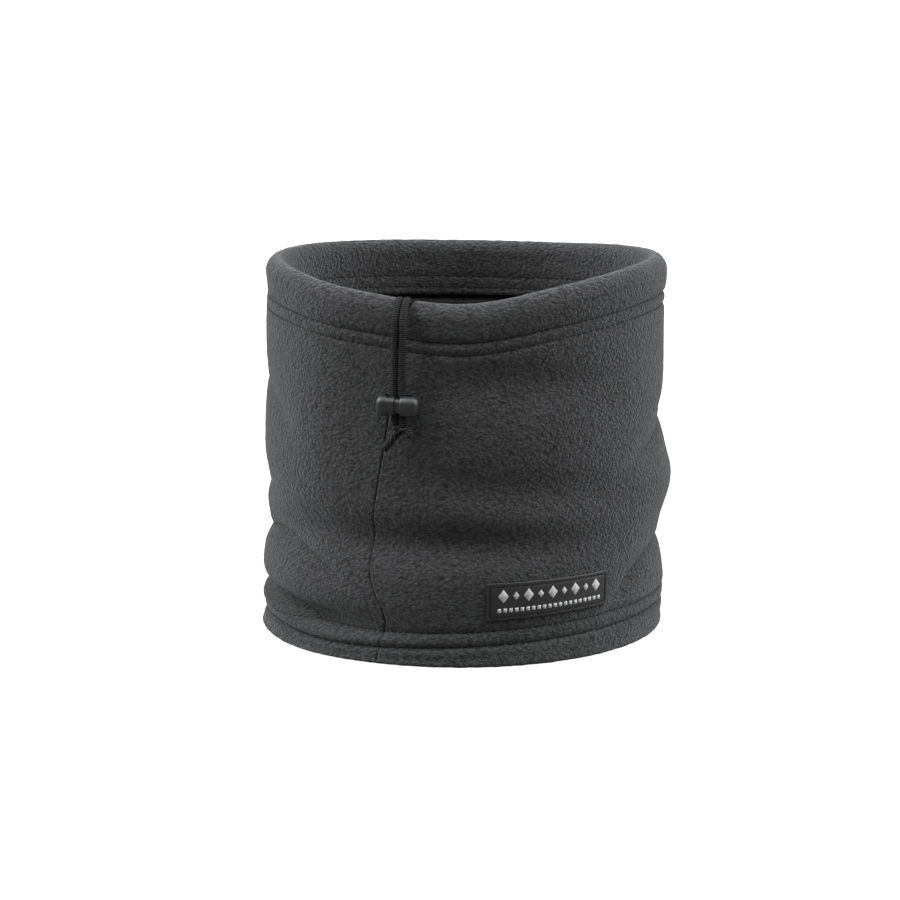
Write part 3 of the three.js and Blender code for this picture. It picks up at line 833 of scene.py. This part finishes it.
for face in ("outside", "inside"):
    for level, below in zip(("upper", "lower"), tube["topRows"]):
        sewRow("top", level, face, tube["rim"] - below)
    for level, above in zip(("lower", "upper"), tube["hemRows"]):
        sewRow("hem", level, face, above)
sewSeam("shellSeam", "shell_seam_thread", 1.5, tube["rim"] - 22, seamAt, tube["outer"], False)
sewSeam("liningSeam", "lining_seam_thread", tube["hemTurn"] + 2, tube["rim"] - tube["topTurn"] - 2,
        lambda height: np.full(len(height), tube["exit"]), liningInner, True)
print("stitching ready")


edging = {"thread": 0.5, "turns": 52, "perTurn": 12, "halfWide": 0.55, "halfTall": 1.05, "middle": -1.0,
          "offSlit": 0.45, "fall": 0.06}


def makeButtonhole():
    count = edging["turns"] * edging["perTurn"]
    off = edging["offSlit"]
    edge = stadiumPoints(slit["halfLong"] + off, slit["halfDeep"] + off, count)
    turn = np.arange(count) / edging["perTurn"] * 2 * math.pi
    across = edging["halfWide"] * np.cos(turn)
    local = np.column_stack([edge[:, 0] + edge[:, 2] * across, edge[:, 1] + edge[:, 3] * across,
                             edging["middle"] + edging["halfTall"] * np.sin(turn)])
    local[:, 2] -= edging["fall"] * edge[:, 1] ** 2  # the crest falls away to both sides
    whipping = sweep("buttonholeWhipping", fromExit(local), edging["thread"] / 2, 6, thread, closed=True)
    belongs(whipping, "root", "sewing_thread", "buttonhole_edging")


makeButtonhole()


label = {
    "azimuth": 25.8, "width": 56, "tall": 16, "floor": 19.4, "thick": 0.75, "ease": 0.45, "round": 0.35,
    "firstIn": 0.12, "hemmed": 1.2, "weavePitch": 1.1, "weaveDepth": 0.03, "sewnDepth": 0.22,
    "sewnWidth": 0.45,
}
labelStitch = {"width": 0.5, "pitch": 2.0, "dip": 0.5, "proud": -0.08, "points": 8}


def onLabel(x, y, lift):  # x from the label's middle, y from its lower edge, lift off its back
    azimuth = label["azimuth"] + np.degrees(np.asarray(x, float) / tube["outer"])
    lift = np.asarray(lift, float)
    point, out = outFrom(azimuth, label["floor"] + np.asarray(y, float), label["ease"])
    return point + out * lift[..., None], out


def fromEdge(low, high, count):  # places from edge to edge, close together where the edge is rounded
    first, edge = label["firstIn"], label["round"]
    return np.concatenate([[low, low + first, low + edge], np.linspace(low + 1, high - 1, count),
                           [high - edge, high - first, high]])


def makeLabel():
    half, tall, thick = label["width"] / 2, label["tall"], label["thick"]
    x, y = np.meshgrid(fromEdge(-half, half, 110), fromEdge(0, tall, 30), indexing="xy")
    nearest = np.minimum(np.minimum(x + half, half - x), np.minimum(y, tall - y))
    bevel = thick / 2 * np.sqrt(np.clip(1 - (1 - np.clip(nearest / label["round"], 0, 1)) ** 2, 0, 1))
    threadTurn = 2 * math.pi / label["weavePitch"]
    weave = label["weaveDepth"] * np.sin(x * threadTurn) * np.sin(y * threadTurn)
    sewn = -label["sewnDepth"] * bell(nearest, label["hemmed"] + 0.2, label["sewnWidth"])
    front, _ = onLabel(x, y, thick / 2 + bevel + (weave + sewn) * (nearest > 0))
    back, _ = onLabel(x, y, thick / 2 - bevel)
    rows, columns = x.shape
    points = np.concatenate([front.reshape(-1, 3), back.reshape(-1, 3)])
    uv = np.concatenate([np.stack([x, y], -1).reshape(-1, 2)] * 2)
    faces = gridFaces(rows, columns, False, False)
    faces += [f[::-1] for f in gridFaces(rows, columns, False, False, rows * columns)]
    piece = makeObject("wovenLabel", points, faces, satin, uv)
    work = bmesh.new()
    work.from_mesh(piece.data)
    bmesh.ops.remove_doubles(work, verts=work.verts, dist=1e-6)
    work.to_mesh(piece.data)
    work.free()
    finishMesh(piece)
    belongs(piece, "root", "label_satin", "woven_label")
    return piece


def makeLabelStitching():
    inset, half, tall = label["hemmed"] + 0.25, label["width"] / 2, label["tall"]
    corners = [(-half + inset, inset), (half - inset, inset),
               (half - inset, tall - inset), (-half + inset, tall - inset)]
    flat = []
    for (x0, y0), (x1, y1) in zip(corners, corners[1:] + corners[:1]):
        steps = round(math.hypot(x1 - x0, y1 - y0) / labelStitch["pitch"]) * labelStitch["points"]
        share = np.arange(steps) / steps
        flat.append(np.stack([x0 + (x1 - x0) * share, y0 + (y1 - y0) * share], -1))
    flat = np.concatenate(flat)
    line, out = onLabel(flat[:, 0], flat[:, 1], label["thick"] + labelStitch["proud"])
    piece = stitches("labelStitching", line, out, labelStitch)
    belongs(piece, "root", "sewing_thread", "label_stitching")
    return piece


motif = {
    "lozenges": 9, "pitch": 5.3, "halfWide": 2.35, "halfTall": 3.2, "height": 10.3, "sizes": (1.0, 0.6),
    "dashes": 20, "dashPitch": 2.4, "dashHalf": (0.8, 0.95), "dashHeight": 4.2,
    "raise": 0.16, "root": 0.25, "crown": 0.03, "topShare": 0.86,
}


def makeMotif():  # plain woven ornament: a row of lozenges over a row of small blocks
    points, faces, uv = [], [], []

    def patch(outline, top, bottom):
        first = len(points)
        outline = np.asarray(outline, float)
        centre = outline.mean(0)
        shrunk = centre + (outline - centre) * motif["topShare"]
        for ring, lift in ((outline, bottom), (shrunk, top)):
            made, _ = onLabel(ring[:, 0], ring[:, 1], np.full(len(ring), lift))
            points.extend(made)
            uv.extend(ring)
        middle, _ = onLabel(centre[:1], centre[1:], np.array([top + motif["crown"]]))
        points.extend(middle)
        uv.append(centre)
        n = len(outline)
        faces.extend(gridFaces(2, n, False, True, first))
        faces.extend([[first + n + k, first + n + (k + 1) % n, first + 2 * n] for k in range(n)])
        faces.append([first + k for k in range(n)][::-1])

    top, bottom = label["thick"] + motif["raise"], label["thick"] - motif["root"]
    start = -(motif["lozenges"] - 1) / 2 * motif["pitch"]
    for i in range(motif["lozenges"]):
        x = start + i * motif["pitch"]
        turn = np.arange(24) / 24 * 2 * math.pi
        reach = 1 / (np.abs(np.cos(turn)) + np.abs(np.sin(turn)))
        size = motif["sizes"][i % 2]
        patch(np.stack([x + motif["halfWide"] * size * reach * np.cos(turn),
                        motif["height"] + motif["halfTall"] * size * reach * np.sin(turn)], -1), top, bottom)
    start = -(motif["dashes"] - 1) / 2 * motif["dashPitch"]
    wide, tall = motif["dashHalf"]
    for i in range(motif["dashes"]):
        x = start + i * motif["dashPitch"]
        corners = [(x + wide * sx, motif["dashHeight"] + tall * sy)
                   for sx, sy in ((-1, -1), (0, -1), (1, -1), (1, 0), (1, 1), (0, 1), (-1, 1), (-1, 0))]
        patch(corners, top, bottom)
    piece = finishMesh(makeObject("labelMotif", points, faces, paleYarn, uv))
    belongs(piece, "root", "label_satin")
    return piece


wovenLabel = makeLabel()
labelThread = makeLabelStitching()
labelMotif = makeMotif()
print("label ready")


def inCasing(away):
    return drape(tube["exit"] + np.asarray(away, float), rimCentre, tube["rim"] - cords["belowCrest"])


def bendRoute(side):  # out of the casing, up through the buttonhole, over the crest and down outside
    shift = cords["pitch"] / 2 * side
    end = strandX(cords["top"]) + shift
    turnUp = (-4.2, -3.4) if side < 0 else (-4.6, -3.6)
    casing = inCasing(np.array([side * 6.57, side * 5.2, side * 3.9]))
    slitPoints = fromExit([(3.5 * side, 0, turnUp[0]), (2.3 * side, 0, turnUp[1]),
                           (shift + 0.12 * side, 0, -2)])
    over = fromExit([
        (shift, -0.1, -0.5), (shift + 0.05 * side, -0.8, 1.2),
        (shift + 0.05 * side + 0.1, -2.4, 1.9), (shift + 0.03 * side + 0.2, -4.6, 1.2),
        (shift + 0.4, -7, -0.9), (shift + 0.55, -8.9, -3.6), (end, cords["depth"], -7.1),
    ])
    return casing, slitPoints, over


def makeCasingCord():
    start = cords["casingStart"]
    line, _ = alongCurve(inCasing(np.linspace(start, 360 - start, 49)), 1300)
    hidden = sweep("drawcordInCasing", line, cords["diameter"] / 2, 12, elastic, height=braid)
    belongs(hidden, "root", "elastic_cord", "drawcord_in_casing")


def makeBendInCasing(side, name):
    casing, slitPoints, over = bendRoute(side)
    line, _ = alongCurve(np.concatenate([casing, slitPoints, over[:1]]), 90)
    belongs(sweep(name, line, cords["thick"] / 2, 24, elastic, height=braid), "root", "elastic_cord")


knotMiddle = -49.7
knotRoute = {
    "wide": 0.56, "tall": 0.5, "deep": 1.1, "thread": 2.2,
    "left": ((-1.1, -0.2, -1.6), (-1.8, -0.2, -2.8), (-3, -0.3, -4.5), (-4.4, -0.2, -6.2), (-6.1, 0.1, -8.1)),
    "right": ((2.2, 0, 0.3), (3.4, -0.1, 0.3), (4.4, -0.3, -0.2), (5.1, -0.4, -1.2), (5.3, -0.5, -2.4)),
}
tail = {"plies": 3, "twist": 3.2, "plyReach": 0.27, "plyThick": 0.26, "hairs": 16, "hairPoints": 7,
        "hairThick": (0.11, 0.05)}


def makeStrand(side, name, nodes):
    shift = cords["pitch"] / 2 * side
    _, _, over = bendRoute(side)
    levels = (-12, -18, -24, -30, -35, cords["lockHeight"], -44, cords["bottom"])
    bows = (0.2, 0.5, 0.8, 1.0, 0.8, 0.2, 0, 0)
    hanging = fromExit([(strandX(z) + shift + cords["bow"][side] * bow, cords["depth"], z)
                        for z, bow in zip(levels, bows)])
    gather = fromExit([(strandX(knotMiddle) + shift * 0.72, cords["depth"], knotMiddle + 0.6)])
    line, length = alongCurve(np.concatenate([over, hanging, gather]), 560)
    piece = sweep(name, line, cords["thick"] / 2, 48, elastic, height=braid)
    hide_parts(*nodes)
    straight = fromExit((strandX(cords["top"]), cords["depth"], cords["top"]))
    tuple(over[2] * mm)
    tuple(straight * mm)
    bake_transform(piece)
    print(name, round(length, 1), "mm")


def fromKnot(points):
    middle = np.array([strandX(knotMiddle), cords["depth"], knotMiddle])
    return fromExit(np.asarray(points, float) + middle)


def makeKnot():
    turn = np.linspace(0, 2 * math.pi, 60, endpoint=False)
    loops = np.column_stack([knotRoute["wide"] * (np.sin(turn) + 2 * np.sin(2 * turn)),
                             knotRoute["deep"] * -np.sin(3 * turn),
                             knotRoute["tall"] * (np.cos(turn) - 2 * np.cos(2 * turn))])
    line, _ = alongCurve(fromKnot(loops), 240, closed=True)
    knot = sweep("drawcordKnot", line, knotRoute["thread"] / 2, 20, elastic, closed=True, height=braid)
    belongs(knot, "drawcord_ends", "elastic_cord", "drawcord_knot")
    return knot


def makeTail(name, node, route, thick):  # plies twisted together, fraying at the tip
    line, length = alongCurve(fromKnot(route), 90)
    _, side, other = framesAlong(line)
    share = np.linspace(0, 1, len(line))
    turns = share * length / tail["twist"] * 2 * math.pi
    work = []
    for ply in range(tail["plies"]):
        angle = turns + ply * 2 * math.pi / tail["plies"]
        reach = thick * tail["plyReach"] * (1 + 0.35 * share ** 3)
        strand = line + (side * np.cos(angle)[:, None] + other * np.sin(angle)[:, None]) * reach[:, None]
        plyHalf = thick * tail["plyThick"] * (1 - 0.25 * share ** 4)
        work.append(sweep(f"{name}{ply}", strand, plyHalf, 12, elastic))
    bits = np.random.default_rng(4)
    tip, way = line[-1], unit(line[-1] - line[-4])
    for hair in range(tail["hairs"]):
        hairWay = unit(way + bits.normal(0, 0.42, 3))
        start = tip - way * bits.uniform(0, 0.8) + bits.normal(0, 0.35, 3)
        droop = np.array([0, 0, -bits.uniform(0, 0.5)])
        reach = bits.uniform(1.0, 2.1)
        path = [start, start + hairWay * reach * 0.5, start + hairWay * reach + droop]
        hairLine, _ = alongCurve(path, tail["hairPoints"])
        hairHalf = np.linspace(*tail["hairThick"], tail["hairPoints"])
        work.append(sweep(f"{name}hair{hair}", hairLine, hairHalf, 5, elastic))
    joined = joinPieces(name, work)
    belongs(joined, "drawcord_ends", "elastic_cord", node)
    return joined


def joinPieces(name, parts):
    joined = bmesh.new()
    joined.loops.layers.uv.new("Maker")
    for part in parts:
        joined.from_mesh(part.data)
    mesh = bpy.data.meshes.new(name)
    joined.to_mesh(mesh)
    joined.free()
    mesh.materials.append(parts[0].data.materials[0])
    for part in parts:
        bpy.data.objects.remove(part)
    mesh.shade_smooth()
    obj = bpy.data.objects.new(name, mesh)
    bpy.context.scene.collection.objects.link(obj)
    return obj


makeCasingCord()
for side, name in ((-1, "drawcordBendLeft"), (1, "drawcordBendRight")):
    makeBendInCasing(side, name)
knot = makeKnot()
tails = [makeTail("drawcordTailLeft", "drawcord_tail_left", knotRoute["left"], 3.1),
         makeTail("drawcordTailRight", "drawcord_tail_right", knotRoute["right"], 2.9)]
makeStrand(-1, "drawcordLeft", ("drawcord_bend_left", "drawcord_end_left"))
makeStrand(1, "drawcordRight", ("drawcord_bend_right", "drawcord_end_right"))
print("drawcord ready")

# cord lock: x along the plunger, y front to back, z along the cords; a section is depth, height and corner
lock = {
    "half": 9, "section": (8.6, 8.4, 3.3), "endRound": 2.5, "belly": 0.12, "lobeEnd": -3.5, "lobeRound": 1.3,
    "collar": (7.8, 7.6, 2.6), "collarEnd": -0.85, "collarRound": 0.25,
    "sleeve": (6.6, 6.4, 2.0), "sleeveEnd": 5.6, "bore": (5.0, 4.8, 1.2), "boreEnd": -7.7,
    "cap": 1.45, "capRound": 0.7, "capInside": 7.9, "hollow": (7.2, 7.0, 2.3),
    "stem": (4.4, 4.2, 0.9), "stemStart": -4.6,
    "slotSection": (3.2, 20, 0.3), "bodySlot": (-5.6, 3.6), "buttonSlot": (-3.6, 5.6),
}
lockMiddle = fromExit((strandX(cords["lockHeight"]), cords["depth"], cords["lockHeight"]))


def fromLock(points):
    points = np.asarray(points, float)
    return lockMiddle + points[..., :1] * exitAlong + points[..., 1:2] * exitInward + points[..., 2:] * upward


def barPiece(name, start, end, section, easeStart=0.0, easeEnd=0.0, belly=0.0):
    # rounded rectangle section along x, its ends rounded over easeStart and easeEnd
    deep, tall, radius = section
    corner = []
    for middleX, middleY, first in ((1, 1, 0), (-1, 1, 90), (-1, -1, 180), (1, -1, 270)):
        for turn in np.radians(np.linspace(first, first + 90, 9)):
            corner.append((middleX, middleY, math.cos(turn), math.sin(turn)))
    corner = np.array(corner)
    stations = [(start, 0.0)]
    turnIn = np.radians(np.linspace(0, 90, 7))
    if easeStart:
        stations = [(start + easeStart * (1 - math.sin(t)), easeStart * (1 - math.cos(t)))
                    for t in turnIn[::-1]]
    inner = np.linspace(start + easeStart, end - easeEnd, 14)[1:-1]
    stations += [(x, 0.0) for x in inner]
    if easeEnd:
        stations += [(end - easeEnd * (1 - math.sin(t)), easeEnd * (1 - math.cos(t))) for t in turnIn]
    else:
        stations += [(end, 0.0)]
    rings = []
    for x, shrink in stations:
        share = (x - start) / (end - start)
        swell = belly * math.sin(math.pi * share)
        r = max(radius - shrink * 0.7, 0.2)
        halfY, halfZ = deep / 2 - shrink + swell, tall / 2 - shrink + swell
        rings.append(np.column_stack([np.full(len(corner), x),
                                      corner[:, 0] * (halfY - r) + corner[:, 2] * r,
                                      corner[:, 1] * (halfZ - r) + corner[:, 3] * r]))
    points = fromLock(np.concatenate(rings))
    faces = gridFaces(len(rings), len(corner), False, True)
    faces += [list(range(len(corner))), [(len(rings) - 1) * len(corner) + k for k in range(len(corner))]]
    return finishMesh(makeObject(name, points, faces, plastic))


def finishLockPart(obj, body, node):
    for face in obj.data.polygons:
        face.use_smooth = True
    finishMesh(obj, sharp=38)
    belongs(obj, body, "lock_plastic", node)


def makeLock():
    half, inLobe = lock["half"], lock["lobeEnd"] - 1.5
    body = barPiece("lockBody", -half, lock["lobeEnd"], lock["section"], lock["endRound"],
                    lock["lobeRound"], lock["belly"])
    boolean(body, barPiece("collar", inLobe + 0.1, lock["collarEnd"], lock["collar"], 0, lock["collarRound"]),
            "UNION")
    boolean(body, barPiece("sleeve", inLobe, lock["sleeveEnd"], lock["sleeve"]), "UNION")
    boolean(body, barPiece("bore", lock["boreEnd"], half, lock["bore"]), "DIFFERENCE")
    boolean(body, barPiece("slot", *lock["bodySlot"], lock["slotSection"]), "DIFFERENCE")
    finishLockPart(body, "cord_lock", "cord_lock_body")
    button = barPiece("lockButton", lock["cap"], half, lock["section"], lock["capRound"], lock["endRound"],
                      lock["belly"])
    boolean(button, barPiece("hollow", lock["cap"] - 1, lock["capInside"], lock["hollow"]), "DIFFERENCE")
    boolean(button, barPiece("stem", lock["stemStart"], lock["capInside"] + 0.5, lock["stem"]), "UNION")
    boolean(button, barPiece("slot", *lock["buttonSlot"], lock["slotSection"]), "DIFFERENCE")
    finishLockPart(button, "lock_button", "cord_lock_button")


spring = {"wire": 0.4, "radius": 1.7, "turns": 2.5, "start": -7.2, "end": -5.1, "pressed": 0.28}


def makeSpring():
    share = np.linspace(0, 1, 120)
    turn = share * spring["turns"] * 2 * math.pi
    line = fromLock(np.column_stack([spring["start"] + (spring["end"] - spring["start"]) * share,
                                     spring["radius"] * np.cos(turn), spring["radius"] * np.sin(turn)]))
    coil = sweep("lockSpring", line, spring["wire"] / 2, 10, springSteel)
    belongs(coil, "cord_lock", "spring_steel", "cord_lock_spring")
    anchor = fromLock((spring["start"] - spring["wire"] / 2, 0, 0)) * mm
    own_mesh(coil)


makeLock()
makeSpring()
print("lock ready")

studio = {"floor": 0.02, "floorSide": 12000, "glow": 0.95, "world": 1.1,
          "suns": {"leftLight": ((-1.6, 0.0, 1.25), 50, 18.5), "rightLight": ((1.6, 0.0, 1.15), 50, 15),
                   "topLight": ((0.15, -0.38, 1.3), 60, 11)}}  # place, spread, strength


def makeFloor():
    m = Maker("studio floor")
    paper = m.speckle(m.place(), 60, 2)
    low = studio["floor"]
    m.set(baseColor=m.blend(paper, (low, low, low), (low * 1.03,) * 3), roughness=0.95,
          emissionColor=(1, 1, 1, 1), emissionStrength=studio["glow"])
    side = studio["floorSide"]
    points = [(-side, -side, 0), (side, -side, 0), (side, side, 0), (-side, side, 0)]
    floor = makeObject("studioFloor", points, [(0, 1, 2, 3)], m.material)


def softSun(name, place, spreadAngle, strength):
    data = bpy.data.lights.new(name, "SUN")
    data.angle = math.radians(spreadAngle)
    data.energy = strength
    lamp = bpy.data.objects.new(name, data)
    lamp.rotation_euler = (-Vector(place)).to_track_quat("-Z", "Y").to_euler()
    bpy.context.scene.collection.objects.link(lamp)


def makeStudio():
    makeFloor()
    world = bpy.data.worlds.new("studio")
    bpy.context.scene.world = world
    world.use_nodes = True
    sky = world.node_tree.nodes["Background"]
    sky.inputs["Color"].default_value = (1, 1, 1, 1)
    sky.inputs["Strength"].default_value = studio["world"]
    for name, (place, spreadAngle, strength) in studio["suns"].items():
        softSun(name, place, spreadAngle, strength)
    bpy.context.scene.view_settings.view_transform = "Standard"


makeStudio()
print("studio ready")
